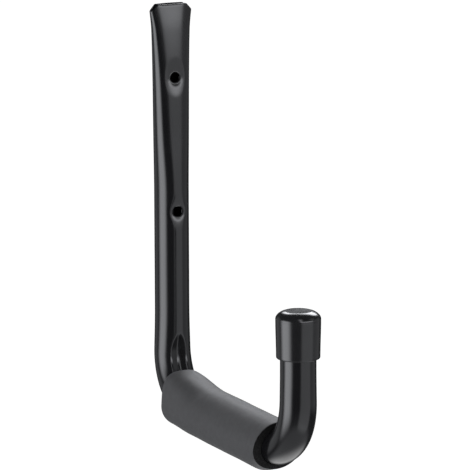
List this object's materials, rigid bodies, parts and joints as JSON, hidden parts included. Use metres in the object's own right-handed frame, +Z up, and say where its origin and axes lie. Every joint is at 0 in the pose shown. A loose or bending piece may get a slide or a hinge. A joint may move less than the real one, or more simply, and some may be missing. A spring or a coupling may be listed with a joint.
{
  "type": "garage utility hook",
  "caption": "Wall hook bent from glossy black tube, flattened and drilled at the top for screws, with a foam sleeve on its arm and a cap on its tip.",
  "frame": {"origin": "half-way between the two screw holes, on the axis of the bar", "axes": "+Z up along the bar, -Y out from the wall along the arm, +X to the right of someone who faces the wall"},
  "size_m": [0.0304, 0.1821, 0.2409],
  "materials": {
    "tube_coat": "gloss",
    "foam": "matt",
    "cap": "satin"
  },
  "bodies": {
    "root": {"hook_tube": "tube_coat", "foam_sleeve": "foam", "end_cap": "cap"}
  },
  "joints": []
}
